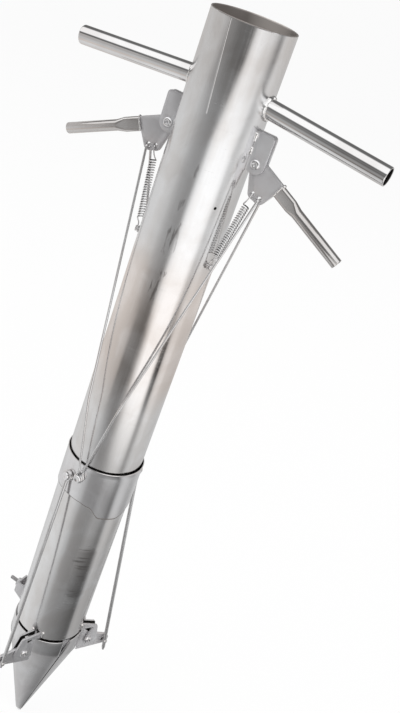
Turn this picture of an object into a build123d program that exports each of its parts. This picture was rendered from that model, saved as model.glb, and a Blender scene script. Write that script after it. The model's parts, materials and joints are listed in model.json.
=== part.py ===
from build123d import *
import math
import os

# Hand seedling transplanter. Millimetres, +Z up the feed tube, +X along the right
# handle, origin on the tube's axis at the closed tip of the two planting jaws.

# Feed tube
tube_od = 70.0
tube_wall = 1.2
tube_length = 623.5
tube_hole_d = 2.6
tube_hole_drop = 140.0
tube_hole_azimuth = -34.0

# Side handles, tubes welded to the feed tube and drooping a little
handle_od = 16.0
handle_wall = 1.2
handle_reach = 107.8
handle_drop = 53.0
handle_droop = 4.6

# Lever brackets, each two cheeks and a web under a handle
bracket_sheet = 2.0
bracket_top_drop = 73.5
bracket_round = 8.0
bracket_corner = 3.0
bracket_web_height = 14.0

# Squeeze levers: a pressed plate with a tang, and a tube grip flattened over it
lever_pivot_standoff = 7.0
lever_pivot_drop = 98.5
lever_droop = 25.7
lever_thickness = 3.0
lever_side_gap = 0.4
lever_half_width = 6.1
lever_arm_length = 27.5
lobe_round = 4.6
wire_hole_d = 4.4
wire_hole_along = 21.5
wire_hole_below = 17.0
spring_hole_d = 3.2
spring_hole_along = 14.5
spring_hole_below = 18.0
tang_length = 12.0
tang_width = 9.8
tang_clearance = 0.1
flat_wall = 1.1
flat_length = 15.0
flat_corner = 0.25
flare_length = 8.0
grip_od = 9.5
grip_wall = 1.0
grip_length = 50.0

# Rivets of the levers and jaws
rivet_d = 5.0
rivet_head_d = 8.4
rivet_head_height = 1.7
rivet_crown = 1.1
rivet_clearance = 0.05
stud_root = 2.0

# Return springs, close-wound extension springs hooked between lever and tube
spring_wire_d = 1.0
spring_wire_sides = 4
spring_mean_d = 5.4
spring_turns = 24
spring_pitch = 2.08
spring_lower_neck = 9.6
spring_lead = 4.2
spring_upper_neck = 6.2
spring_eye_start = 130.0
spring_stud_d = 3.8
spring_stud_drop = 191.0
spring_stud_azimuth = 11.0
spring_stud_length = 3.4
spring_stud_head_d = 5.6
spring_stud_head = 1.2
spring_loop_standoff = 2.0
spring_hook_gap = 0.5
spring_hook_bend = 1.1
spring_hook_tail = 5.0
spring_rest_out = 0.4
spring_rest_down = 0.5

# Lift collar, sliding on the tube, with studs for the wires and the rods
collar_height = 45.0
collar_wall = 1.2
collar_clearance = 0.4
collar_above_foot = 170.5
collar_stud_d = 5.0
collar_stud_head_d = 8.0
collar_stud_head = 1.4
wire_stud_up = 32.0
rod_stud_up = 25.0
rod_stud_spread = 81.0
eye_clearance = 0.1
eye_side_gap = 0.5
wire_eye_gap = 0.9

# Pull wires, one hairpin from each lever down both sides of the collar
wire_d = 2.2
wire_parallel_run = 80.0
wire_knee_radius = 60.0
wire_crown_gap = 0.8
wire_crown_radius = 2.0
wire_eye_wall = 2.0
wire_rest_out = 0.3
wire_rest_down = 0.5
wire_sides = 8

# Planting jaws: two half cones under a half band each, turned against the handles
jaw_turn = 62.0
cone_height = 119.5
cone_wall = 1.4
tip_radius = 3.0
band_height = 21.5
band_wall = 1.6
band_proud = 1.2
jaw_gap = 1.5
seam_gap = 0.6
relief_width = 7.6
strip_thickness = 1.3
strip_inset = 1.25
strip_overlap = 0.0
strip_grip = 14.5
strip_end_gap = 0.6

# Jaw forks, two cheeks on the front of the tube for each jaw, and the jaws' arms
jaw_pivot_standoff = 2.0
jaw_pivot_below_foot = 18.0
fork_sheet = 2.0
fork_side_gap = 0.5
fork_round = 7.2
fork_nose = 3.5
fork_weld_gap = 0.8
fork_weld_height = 9.7
fork_slope = 7.5
fork_corner = 3.0
fork_shoulder_up = 18.2
arm_thickness = 3.0
arm_inset = 12.5
arm_hole_out = 21.8
arm_hole_down = 6.4
arm_hole_d = 5.6
arm_round = 6.3
arm_boss = 7.4
ear_height = 30.5
ear_foot = 7.0

# Push rods from the collar's studs to the jaws' arms
rod_d = 3.6
rod_eye_wall = 3.0
rod_arm_gap = 1.5
rod_rest_out = 0.45
rod_tail_right = 12.0
rod_tail_left = 5.0
rod_pin_head_d = 7.4
rod_pin_head = 1.4
rod_pin_gap = 0.6

# Depth stop socket with its clamp screw, on the tube's foot under the left handle
socket_opening = 8.0
socket_width = 12.0
socket_sheet = 2.0
socket_height = 12.0
socket_above_foot = 7.5
socket_taper = 5.5
screw_d = 4.0
screw_reach = 9.0
screw_tip_gap = 0.4
screw_slot = 0.9
screw_slot_depth = 2.0
screw_clearance = 0.06
nut_flats = 8.0
nut_height = 3.0

# Heights and radii worked out from the sizes above
tube_r = tube_od / 2
tube_foot = cone_height + band_height + jaw_gap
tube_mouth = tube_foot + tube_length
band_top = cone_height + band_height
band_r = tube_r + band_proud
pivot_x = tube_r + lever_pivot_standoff
pivot_z = tube_mouth - lever_pivot_drop
rivet_r = rivet_d / 2
bracket_inner = lever_thickness / 2 + lever_side_gap
bracket_outer = bracket_inner + bracket_sheet
collar_foot = tube_foot + collar_above_foot
collar_r = tube_r + collar_clearance + collar_wall
stud_r = collar_stud_d / 2
wire_r = wire_d / 2
wire_stud_z = collar_foot + wire_stud_up
wire_inner_y = collar_r + wire_eye_gap + wire_r
wire_outer_y = wire_inner_y + wire_d + eye_side_gap
rod_r = rod_d / 2
jaw_pivot_x = tube_r + jaw_pivot_standoff
jaw_pivot_z = tube_foot - jaw_pivot_below_foot
arm_y = -(tube_r - arm_inset)
far = 4 * tube_mouth
overrun = 1.0
least_flat = 0.02


def save(name, shape):
    """Writes one piece, or one group of like pieces, under its own name."""
    export_step(shape, "parts/" + name + ".step")


def bar(start, end, diameter):
    """A round bar from one point to another."""
    run = Vector(end) - Vector(start)
    place = Plane(origin=start, z_dir=run)
    return place * Cylinder(diameter / 2, run.length, align=(Align.CENTER, Align.CENTER, Align.MIN))


def ring(centre, axis, outer_r, inner_r, thickness):
    """A flat eye, with its hole along an axis."""
    place = Plane(origin=centre, z_dir=axis)
    return place * (Cylinder(outer_r, thickness) - Cylinder(inner_r, thickness))


def upright(radius):
    """A long cylinder on the tube's axis, for saddle cuts."""
    return Cylinder(radius, far)


def left_of(shape):
    """The left-hand twin of a right-hand piece."""
    return mirror(shape, about=Plane.YZ)


def rivet(grip, axis_start, axis):
    """A rivet whose two domed heads hold a stack of the given thickness."""
    rim = rivet_head_height - rivet_crown
    crown_r = rivet_head_d / 2 - rivet_crown
    profile = Polyline(
        (0, rivet_head_height),
        (crown_r, rivet_head_height),
        (rivet_head_d / 2, rim),
        (rivet_head_d / 2, 0),
        (rivet_r, 0),
        (rivet_r, -grip),
        (rivet_head_d / 2, -grip),
        (rivet_head_d / 2, -grip - rim),
        (crown_r, -grip - rivet_head_height),
        (0, -grip - rivet_head_height),
        close=True,
    )
    return Plane(origin=axis_start, z_dir=axis) * revolve(Plane.XZ * make_face(profile), Axis.Z)


def bent_wire(path, diameter, sides):
    """A wire along straight runs and tangent bends, with a faceted round section."""
    section = Plane(origin=path @ 0, z_dir=path % 0) * RegularPolygon(diameter / 2, sides)
    return sweep(section, path, clean=False)


def feed_tube():
    """The straight tube, open at both ends, with one small hole in its wall."""
    wall = Cylinder(tube_r, tube_length) - Cylinder(tube_r - tube_wall, tube_length)
    wall = Pos(0, 0, tube_foot + tube_length / 2) * wall
    turn = math.radians(tube_hole_azimuth)
    out = Vector(math.cos(turn), math.sin(turn), 0)
    eye = Vector(0, 0, tube_mouth - tube_hole_drop)
    return wall - bar(eye + out * (tube_r / 2), eye + out * (tube_r * 1.5), tube_hole_d)


def side_handle():
    """The right handle, saddled on the tube and open at its outer end."""
    fall = math.radians(handle_droop)
    out = Vector(math.cos(fall), 0, -math.sin(fall))
    root = Vector(0, 0, tube_mouth - handle_drop)
    tip = root + out * (tube_r + handle_reach)
    tube = bar(root, tip, handle_od) - bar(root, tip + out * overrun, handle_od - 2 * handle_wall)
    solids = (tube - upright(tube_r)).solids()
    return solids.sort_by(Axis.X)[-1]


def lever_bracket():
    """Two cheeks and a web under the right handle, saddled on the tube."""
    top = tube_mouth - bracket_top_drop
    root = tube_r - bracket_round
    nose = pivot_x + bracket_round
    upper = Pos((root + nose) / 2, (top + pivot_z) / 2) * Rectangle(nose - root, top - pivot_z)
    upper = fillet(upper.vertices().group_by(Axis.Y)[-1].sort_by(Axis.X)[-1], bracket_corner)
    lower = Pos((root + pivot_x) / 2, pivot_z - bracket_round / 2)
    lower = lower * Rectangle(pivot_x - root, bracket_round)
    face = upper + lower + Pos(pivot_x, pivot_z) * Circle(bracket_round)
    face = face - Pos(pivot_x, pivot_z) * Circle(rivet_r)
    cheeks = extrude(Plane.XZ * face, bracket_outer, both=True)
    slot = Box(far, 2 * bracket_inner, far)
    web = Pos(tube_r, 0, top - bracket_web_height / 2)
    web = web * Box(2 * bracket_sheet, 2 * bracket_outer, bracket_web_height)
    return (cheeks - slot + web) - upright(tube_r)


def lever_place():
    """The right lever's own frame: X along the lever from its pivot."""
    return Pos(pivot_x, 0, pivot_z) * Rot(0, lever_droop, 0)


def lever_point(along, below):
    """A point of the right lever at rest, given along it and below its axis."""
    fall = math.radians(lever_droop)
    x = pivot_x + along * math.cos(fall) - below * math.sin(fall)
    z = pivot_z - along * math.sin(fall) - below * math.cos(fall)
    return Vector(x, 0, z)


def lever_plate():
    """The pressed plate of the right lever: boss, wire lobe, arm and tang."""
    wire_hole = Pos(wire_hole_along, -wire_hole_below)
    spring_hole = Pos(spring_hole_along, -spring_hole_below)
    rounds = [
        Circle(lever_half_width),
        wire_hole * Circle(lobe_round),
        spring_hole * Circle(lobe_round),
    ]
    edges = [edge for shape in rounds for edge in shape.edges()]
    shoulder = (lever_arm_length, lever_half_width)
    edges.append(Edge.make_line(shoulder, (lever_arm_length, -lever_half_width)))
    face = make_hull(edges)
    reach = lever_arm_length + tang_length
    face += Pos(reach / 2, 0) * Rectangle(reach, tang_width)
    face -= Circle(rivet_r + rivet_clearance)
    face -= wire_hole * Circle(wire_hole_d / 2)
    face -= spring_hole * Circle(spring_hole_d / 2)
    return lever_place() * extrude(Plane.XZ * face, lever_thickness / 2, both=True)


def lever_grip():
    """The tube grip of the right lever, flattened to a socket over the tang."""
    flat_in = (lever_thickness + 2 * tang_clearance, tang_width + 2 * tang_clearance)
    flat_out = (flat_in[0] + 2 * flat_wall, flat_in[1] + 2 * flat_wall)
    round_out = (grip_od, grip_od)
    round_in = (grip_od - 2 * grip_wall, grip_od - 2 * grip_wall)
    flare = lever_arm_length + flat_length
    start = flare + flare_length

    def oval(x, size, corner):
        return Plane.YZ.offset(x) * RectangleRounded(size[0], size[1], corner)

    def body(flat, flat_radius, rounded, spare):
        radius = (rounded[0] - least_flat) / 2
        piece = extrude(oval(lever_arm_length - spare, flat, flat_radius), flat_length + spare)
        piece += loft([oval(flare, flat, flat_radius), oval(start, rounded, radius)], ruled=True)
        return piece + extrude(oval(start, rounded, radius), grip_length + spare)

    outside = body(flat_out, (flat_out[0] - least_flat) / 2, round_out, 0)
    return lever_place() * (outside - body(flat_in, flat_corner, round_in, overrun))


def biarc(start, heading, end, arrival):
    """Two tangent arcs from one point and heading to another."""
    across = end - start
    both = heading + arrival
    a = both.dot(both) - 4
    b = -2 * across.dot(both)
    c = across.dot(across)
    reach = (-b - math.sqrt(b * b - 4 * a * c)) / (2 * a)
    first = start + heading * reach
    last = end - arrival * reach
    middle = (first + last) * 0.5
    turn = (last - first).normalized()
    return [
        Edge.make_tangent_arc(start, heading, middle),
        Edge.make_tangent_arc(middle, turn, end),
    ]


def spring_frame():
    """The right spring's lower eye, its axis and the two directions across it."""
    turn = math.radians(-spring_stud_azimuth)
    out = Vector(math.cos(turn), math.sin(turn), 0)
    eye = out * (tube_r + spring_loop_standoff) + Vector(0, 0, tube_mouth - spring_stud_drop)
    hole = lever_point(spring_hole_along, spring_hole_below)
    hole += Vector(spring_rest_out, 0, -spring_rest_down)
    axis = (hole - eye).normalized()
    side = out.cross(axis).normalized()
    return eye, out, axis, side, axis.cross(side), hole


def hook_points():
    """The upper hook's bends: beside the lever, through its hole, and its tail."""
    eye, out, axis, side, rear, hole = spring_frame()
    reach = lever_thickness / 2 + spring_hook_gap + spring_wire_d / 2
    near = Vector(hole.X, -reach, hole.Z)
    return near, Vector(hole.X, reach, hole.Z), Vector(hole.X, reach, hole.Z - spring_hook_tail)


def coil_end():
    """Where the coil's upper neck ends, and the way it points to the hook."""
    eye, out, axis, side, rear, hole = spring_frame()
    length = spring_lower_neck + spring_turns * spring_pitch + spring_upper_neck
    point = eye + axis * length + side * (spring_mean_d / 2)
    return point, (hook_points()[0] - point).normalized()


def spring_path():
    """One unbroken path: the eye on the stud, the coils and the upper neck."""
    eye, out, axis, side, rear, hole = spring_frame()
    radius = spring_mean_d / 2

    def on_eye(angle):
        a = math.radians(angle)
        return eye + side * (radius * math.cos(a)) + axis * (radius * math.sin(a))

    def along_eye(angle):
        a = math.radians(angle)
        return side * -math.sin(a) + axis * math.cos(a)

    rise = spring_pitch / (2 * math.pi * radius)

    def on_coil(turns):
        a = 2 * math.pi * turns
        spoke = side * math.cos(a) + rear * math.sin(a)
        return eye + spoke * radius + axis * (spring_lower_neck + turns * spring_pitch)

    def along_coil(turns):
        a = 2 * math.pi * turns
        round_about = rear * math.cos(a) - side * math.sin(a)
        return (round_about + axis * rise).normalized()

    low, last = spring_eye_start, 360
    middle = (low + last) / 2
    edges = [Edge.make_tangent_arc(on_eye(low), along_eye(low), on_eye(middle))]
    edges.append(Edge.make_tangent_arc(on_eye(middle), along_eye(middle), on_eye(last)))
    neck = on_eye(last) + axis * (spring_lower_neck - spring_lead)
    edges.append(Edge.make_line(on_eye(last), neck))
    edges += biarc(neck, axis, on_coil(0.25), along_coil(0.25))
    halves = 2 * spring_turns - 1
    for half in range(halves):
        low = 0.25 + half / 2
        edges += biarc(on_coil(low), along_coil(low), on_coil(low + 0.5), along_coil(low + 0.5))
    top = 0.25 + halves / 2
    end, heading = coil_end()
    lead = end - heading * spring_wire_d
    edges += biarc(on_coil(top), along_coil(top), lead, heading)
    edges.append(Edge.make_line(lead, end))
    return edges


def least_gap(edges, wire, step=0.4):
    """The least gap of a wound wire to itself, measured on points along its path."""
    points = []
    for edge in edges:
        count = max(2, math.ceil(edge.length / step))
        points += [edge @ (k / count) for k in range(count)]
    near = math.ceil(3 * wire / step)
    least = min(
        (a - b).length
        for k, a in enumerate(points)
        for b in points[k + near :: 2]
    )
    return least - wire


def return_spring():
    """The coil of the right spring with its eye on the tube's stud."""
    edges = spring_path()
    gap = least_gap(edges, spring_wire_d)
    print("return spring, least gap of the wire to itself: %.2f mm" % gap)
    path = Wire(edges)
    coil = bent_wire(path, spring_wire_d, spring_wire_sides)
    straight = RegularPolygon(spring_wire_d / 2, spring_wire_sides).area * path.length
    print("return spring, volume over section times length: %.4f" % (coil.volume / straight))
    return coil


def spring_hook():
    """The upper hook of the right spring, through the lever's spring hole."""
    start, heading = coil_end()
    path = FilletPolyline(start, *hook_points(), radius=spring_hook_bend)
    return bent_wire(path.wire(), spring_wire_d, spring_wire_sides)


def spring_stud():
    """The headed stud on the tube that holds the right spring's eye."""
    eye, out, axis, side, rear, hole = spring_frame()
    seat = Vector(0, 0, eye.Z) + out * tube_r
    under = seat + out * spring_stud_length
    stud = bar(seat - out * stud_root, under, spring_stud_d)
    head = bar(under, under + out * spring_stud_head, spring_stud_head_d)
    return (stud + head) - upright(tube_r)


def lift_collar():
    """The sleeve that the levers pull up the tube."""
    sleeve = Cylinder(collar_r, collar_height) - Cylinder(tube_r + collar_clearance, collar_height)
    return Pos(0, 0, collar_foot + collar_height / 2) * sleeve


def collar_stud(azimuth, z, reach):
    """A headed stud on the collar, pointing straight out."""
    turn = math.radians(azimuth)
    out = Vector(math.cos(turn), math.sin(turn), 0)
    seat = Vector(0, 0, z)
    stud = bar(seat + out * (collar_r - stud_root), seat + out * reach, collar_stud_d)
    head = bar(seat + out * reach, seat + out * (reach + collar_stud_head), collar_stud_head_d)
    return (stud + head) - upright(collar_r)


def pull_wire(eye_y):
    """A hairpin of wire through the right lever's hole, with an eye on each stud."""
    hole = lever_point(wire_hole_along, wire_hole_below)
    crown = Vector(hole.X + wire_rest_out, 0, hole.Z - wire_rest_down)
    run = crown - Vector(0, 0, wire_stud_z)
    up = run.normalized()
    plane = Plane(origin=(0, 0, wire_stud_z), x_dir=(0, 1, 0), z_dir=(up.Z, 0, -up.X))
    inner = stud_r + eye_clearance
    start = inner + wire_eye_wall / 2
    half = lever_thickness / 2 + wire_crown_gap + wire_r
    path = plane * FilletPolyline(
        (-eye_y, start),
        (-eye_y, wire_parallel_run),
        (-half, run.length),
        (half, run.length),
        (eye_y, wire_parallel_run),
        (eye_y, start),
        radius=[wire_knee_radius, wire_crown_radius, wire_crown_radius, wire_knee_radius],
    )
    wire = bent_wire(path.wire(), wire_d, wire_sides)
    for side in (-1, 1):
        wire += ring((0, side * eye_y, wire_stud_z), (0, 1, 0), inner + wire_eye_wall, inner, wire_d)
    return wire


def half(shape):
    """The right-hand half of a round shell, cut back by half the seam."""
    return shape & Pos(seam_gap / 2 + far / 2, 0, 0) * Box(far, far, far)


def half_band():
    """A half band on the right-hand side, as the left jaw has it."""
    shell = Cylinder(band_r, band_height) - Cylinder(band_r - band_wall, band_height)
    return half(Pos(0, 0, cone_height + band_height / 2) * shell)


def jaw_band():
    """The half band of the right jaw, its upper corners cut back to swing free."""
    corner = make_face(
        Polyline(
            (seam_gap / 2, jaw_pivot_z),
            (seam_gap / 2 + relief_width, band_top),
            (-relief_width, band_top),
            close=True,
        )
    )
    return half_band() - extrude(Plane.XZ * corner, far, both=True)


def jaw_cone_solid(wall):
    """The full cone below the band, thinner by a wall."""
    return revolve(
        Plane.XZ
        * make_face(
            Polyline(
                (0, 0),
                (tip_radius - wall, 0),
                (band_r - band_wall + cone_wall - wall, cone_height),
                (0, cone_height),
                close=True,
            )
        ),
        Axis.Z,
    )


def jaw_cone():
    """The right half of the planting cone."""
    return half(jaw_cone_solid(0) - jaw_cone_solid(cone_wall))


def seam_strips():
    """Strips inside the right jaw's band that close its seams front and back."""
    outer_y = band_r - band_wall - strip_inset
    height = band_height - strip_end_gap
    width = strip_overlap + strip_grip
    place = Pos((strip_grip - strip_overlap) / 2, 0, cone_height + height / 2)
    plate = place * Pos(0, -outer_y + strip_thickness / 2, 0) * Box(width, strip_thickness, height)
    plate = plate & upright(band_r - band_wall)
    return [plate, mirror(plate, about=Plane.XZ)]


def jaw_arm():
    """The right jaw's arm: an ear on the band, the pivot boss and the rod's eye."""
    hole = (jaw_pivot_x + arm_hole_out, jaw_pivot_z - arm_hole_down)
    boss = Pos(jaw_pivot_x, jaw_pivot_z)
    eye = Pos(*hole)
    face = make_hull([*(boss * Circle(arm_boss)).edges(), *(eye * Circle(arm_round)).edges()])
    low = band_top - ear_height
    ear = Pos(jaw_pivot_x / 2, low + (ear_height - strip_end_gap) / 2)
    ear = ear * Rectangle(jaw_pivot_x, ear_height - strip_end_gap)
    ear = ear & Pos(jaw_pivot_x / 2 - arm_boss, low) * Rectangle(jaw_pivot_x, far)
    face += make_hull([*(boss * Circle(arm_boss)).edges(), *ear.edges()])
    foot = ear & Pos(0, low) * Rectangle(far, 2 * ear_foot)
    face += make_hull([*(eye * Circle(arm_round)).edges(), *foot.edges()])
    face -= boss * Circle(rivet_r + rivet_clearance)
    face -= eye * Circle(arm_hole_d / 2)
    plate = extrude(Plane.XZ * face, arm_thickness / 2, both=True)
    plate = Pos(0, arm_y, 0) * plate
    return plate - upright(band_r) - jaw_cone_solid(0)


def jaw_fork():
    """The two cheeks on the tube that hold the right jaw's pivot."""
    shoulder = Pos(jaw_pivot_x + fork_nose, jaw_pivot_z + fork_shoulder_up) * Circle(fork_corner)
    lower = Pos(jaw_pivot_x + fork_nose, jaw_pivot_z) * Circle(fork_round)
    face = make_hull([*shoulder.edges(), *lower.edges()])
    weld_foot = tube_foot + fork_weld_gap
    weld_top = weld_foot + fork_weld_height
    face += make_face(
        Polyline(
            (0, weld_foot),
            (0, weld_top),
            (tube_r / 2, weld_top),
            (jaw_pivot_x + fork_nose, weld_top - fork_slope),
            (jaw_pivot_x, weld_foot),
            close=True,
        )
    )
    face -= Pos(jaw_pivot_x, jaw_pivot_z) * Circle(rivet_r)
    cheeks = []
    for side in (-1, 1):
        middle = arm_y + side * (arm_thickness / 2 + fork_side_gap + fork_sheet / 2)
        cheek = Pos(0, middle, 0) * extrude(Plane.XZ * face, fork_sheet / 2, both=True)
        cheeks.append((cheek - upright(tube_r)).solids().sort_by(Axis.X)[-1])
    return cheeks


def jaw_rivet():
    """The rivet through the right jaw's fork and arm."""
    stack = arm_thickness + 2 * (fork_side_gap + fork_sheet)
    return rivet(stack, (jaw_pivot_x, arm_y - stack / 2, jaw_pivot_z), (0, -1, 0))


def rod_top():
    """The centre of the right rod's eye on its collar stud."""
    turn = math.radians(rod_stud_spread - 90)
    out = Vector(math.cos(turn), math.sin(turn), 0)
    reach = collar_r + eye_side_gap + rod_r
    return out * reach + Vector(0, 0, collar_foot + rod_stud_up), out


def push_rod(tail):
    """The right rod: an eye on the collar, a straight run past the arm, and a pin in it."""
    top, out = rod_top()
    face_y = arm_y - arm_thickness / 2
    joint = Vector(
        jaw_pivot_x + arm_hole_out + rod_rest_out,
        face_y - rod_arm_gap - rod_r,
        jaw_pivot_z - arm_hole_down,
    )
    heading = (joint - top).normalized()
    inner = stud_r + eye_clearance
    rod = bar(top + heading * (inner + rod_eye_wall / 2), joint + heading * tail, rod_d)
    rod += ring(top, out, inner + rod_eye_wall, inner, rod_d)
    back = Vector(joint.X, arm_y + arm_thickness / 2 + rod_pin_gap, joint.Z)
    rod += bar(joint, back, rod_d)
    return rod + bar(back, back + Vector(0, rod_pin_head, 0), rod_pin_head_d)


def stop_socket():
    """A sheet pocket for a depth stop, its sides tapering down to the tube."""
    foot = tube_foot + socket_above_foot
    top = foot + socket_height
    outer = tube_r + socket_opening + socket_sheet
    side = make_face(
        Polyline(
            (0, foot - socket_taper),
            (tube_r, foot - socket_taper),
            (outer, foot),
            (outer, top),
            (0, top),
            close=True,
        )
    )
    body = extrude(Plane.XZ * side, socket_width / 2 + socket_sheet, both=True)
    body -= Pos(outer - socket_sheet - far / 2, 0, 0) * Box(far, socket_width, far)
    z = screw_height()
    body -= bar((tube_r, 0, z), (outer + overrun, 0, z), screw_d + 2 * screw_clearance)
    body -= upright(tube_r)
    return Rot(0, 0, 180) * body.solids().sort_by(Axis.X)[-1]


def screw_height():
    """The clamp screw's height, in the middle of the socket's outer wall."""
    return tube_foot + socket_above_foot + socket_height / 2


def stop_nut():
    """The nut welded to the socket."""
    face = tube_r + socket_opening + socket_sheet
    hexagon = RegularPolygon(nut_flats / 2, 6, major_radius=False)
    plane = Plane(origin=(face, 0, screw_height()), z_dir=(1, 0, 0))
    nut = extrude(plane * (hexagon - Circle(screw_d / 2 + screw_clearance)), nut_height)
    return Rot(0, 0, 180) * nut


def stop_screw():
    """The clamp screw, slotted at its outer end."""
    z = screw_height()
    tip = tube_r + socket_opening + screw_tip_gap
    end = tube_r + socket_opening + socket_sheet + nut_height + screw_reach
    screw = bar((tip, 0, z), (end, 0, z), screw_d)
    screw -= Pos(end, 0, z) * Box(2 * screw_slot_depth, far, screw_slot)
    return Rot(0, 0, 180) * screw


def main():
    os.makedirs("parts", exist_ok=True)
    save("main_tube", feed_tube())

    # Pieces that come as a right and a left twin across the handles' middle plane
    stack = 2 * bracket_outer
    lever_rivet = rivet(stack, (pivot_x, -bracket_outer, pivot_z), (0, -1, 0))
    twins = {
        "handle": side_handle(),
        "lever_bracket": lever_bracket(),
        "lever_rivet": lever_rivet,
        "lever_plate": lever_plate(),
        "lever_grip": lever_grip(),
        "return_spring": return_spring(),
        "spring_hook": spring_hook(),
    }
    for name, shape in twins.items():
        save(name + "_right", shape)
        save(name + "_left", left_of(shape))
    save("pull_wire_right", pull_wire(wire_inner_y))
    save("pull_wire_left", left_of(pull_wire(wire_outer_y)))
    stud = spring_stud()
    save("spring_studs", Compound([stud, left_of(stud)]))

    # The collar with its studs
    save("lift_collar", lift_collar())
    wire_reach = wire_outer_y + wire_r + eye_side_gap
    wire_studs = [collar_stud(azimuth, wire_stud_z, wire_reach) for azimuth in (-90, 90)]
    save("wire_studs", Compound(wire_studs))
    rod_reach = collar_r + 2 * eye_side_gap + rod_d
    rod_z = collar_foot + rod_stud_up
    rod_azimuths = [jaw_turn - 90 + rod_stud_spread, jaw_turn - 90 - rod_stud_spread]
    save("rod_studs", Compound([collar_stud(a, rod_z, rod_reach) for a in rod_azimuths]))

    # The jaws' pieces, made in the jaws' own frame and then turned
    turned = Rot(0, 0, jaw_turn)
    jaw_twins = {
        "jaw_cone": jaw_cone(),
        "jaw_arm": jaw_arm(),
    }
    for name, shape in jaw_twins.items():
        save(name + "_right", turned * shape)
        save(name + "_left", turned * left_of(shape))
    save("jaw_band_right", turned * jaw_band())
    save("jaw_band_left", turned * left_of(half_band()))
    save("push_rod_right", turned * push_rod(rod_tail_right))
    save("push_rod_left", turned * left_of(push_rod(rod_tail_left)))
    cheeks = jaw_fork()
    save("jaw_fork_right", Compound([turned * cheek for cheek in cheeks]))
    save("jaw_fork_left", Compound([turned * left_of(cheek) for cheek in cheeks]))
    save("seam_strips", Compound([turned * strip for strip in seam_strips()]))
    pivot = jaw_rivet()
    save("jaw_rivets", Compound([turned * pivot, turned * left_of(pivot)]))

    # The depth stop's socket, nut and screw
    save("stop_socket", stop_socket())
    save("stop_nut", stop_nut())
    save("stop_screw", stop_screw())


main()
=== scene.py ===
import json
from math import asin, atan2, ceil, copysign, cos, degrees, hypot, pi, radians, sin, sqrt, tan, tau

import bmesh
import bpy
from mathutils import Matrix, Vector, noise

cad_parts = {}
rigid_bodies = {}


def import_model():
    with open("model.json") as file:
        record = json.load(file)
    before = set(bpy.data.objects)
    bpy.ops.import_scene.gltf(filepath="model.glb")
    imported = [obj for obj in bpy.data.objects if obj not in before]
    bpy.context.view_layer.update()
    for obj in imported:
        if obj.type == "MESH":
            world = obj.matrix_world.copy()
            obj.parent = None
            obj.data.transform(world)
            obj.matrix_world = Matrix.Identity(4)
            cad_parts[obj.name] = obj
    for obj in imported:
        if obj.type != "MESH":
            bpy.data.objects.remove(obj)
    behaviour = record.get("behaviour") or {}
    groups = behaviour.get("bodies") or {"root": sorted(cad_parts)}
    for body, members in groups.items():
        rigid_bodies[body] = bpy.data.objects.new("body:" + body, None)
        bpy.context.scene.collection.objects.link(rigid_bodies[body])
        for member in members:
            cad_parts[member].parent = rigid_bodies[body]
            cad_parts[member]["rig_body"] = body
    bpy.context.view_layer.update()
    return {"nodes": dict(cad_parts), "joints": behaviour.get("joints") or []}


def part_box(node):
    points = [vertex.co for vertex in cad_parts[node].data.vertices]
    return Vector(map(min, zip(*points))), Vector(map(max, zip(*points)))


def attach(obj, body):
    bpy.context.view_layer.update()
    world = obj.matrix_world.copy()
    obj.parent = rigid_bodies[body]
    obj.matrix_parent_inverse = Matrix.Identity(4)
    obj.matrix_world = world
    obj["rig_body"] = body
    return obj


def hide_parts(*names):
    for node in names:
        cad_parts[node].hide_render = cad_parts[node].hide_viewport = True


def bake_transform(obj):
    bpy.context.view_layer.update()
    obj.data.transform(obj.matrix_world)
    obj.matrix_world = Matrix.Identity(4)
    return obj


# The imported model, its box and the places that the pieces are built from
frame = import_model()
nodes = frame["nodes"]
joints = {joint["name"]: joint for joint in frame["joints"]}
MM = 0.001
TINY = 1e-6
UP = Vector((0, 0, 1))
SIDES = (("right", 1), ("left", -1))


def joint_place(name):
    return Vector(joints[name]["pos_m"])


tube_low, tube_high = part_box("main_tube")
TUBE_R = tube_high.x
TUBE_WALL = 1.2 * MM
TUBE_FOOT = tube_low.z
TUBE_MOUTH = tube_high.z
LEVER_PIVOT = joint_place("lever_right_pivot")
JAW_PIVOT = joint_place("jaw_right_pivot")
JAW_FRONT = Vector(joints["jaw_right_pivot"]["axis"])
JAW_RIGHT = UP.cross(JAW_FRONT)
SPRING_EYE = joint_place("spring_right_swing")
STUD_LEVEL = joint_place("wire_right_swing").z

# How far the photograph's camera is turned from the front, and the azimuth at which it stands
VIEW_TURN = radians(24.0)
VIEW_AZIMUTH = VIEW_TURN - pi / 2


# Small mesh helpers
CORNER_SHARE = 0.49


def polar(turn, radius=1.0, height=0.0):
    """A point at an angle round the Z axis."""
    return Vector((radius * cos(turn), radius * sin(turn), height))


def ring(count, radius, height):
    return [polar(tau * j / count, radius, height) for j in range(count)]


def new_mesh(name, points, faces):
    mesh = bpy.data.meshes.new(name)
    mesh.from_pydata([tuple(point) for point in points], [], faces)
    mesh.validate()
    return mesh


def add_object(name, data):
    made = bpy.data.objects.new(name, data)
    bpy.context.scene.collection.objects.link(made)
    return made


def ring_faces(rings, count, wrap=False):
    """Quads between rings of points, all with the same count."""
    faces = []
    for i in range(rings if wrap else rings - 1):
        low = i * count
        high = ((i + 1) % rings) * count
        for j in range(count):
            k = (j + 1) % count
            faces.append((low + j, low + k, high + k, high + j))
    return faces


def capped_faces(rings, count):
    """Quads between rings of points, and a cap on the first and the last ring."""
    first = tuple(reversed(range(count)))
    last = tuple((rings - 1) * count + j for j in range(count))
    return ring_faces(rings, count) + [first, last]


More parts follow.
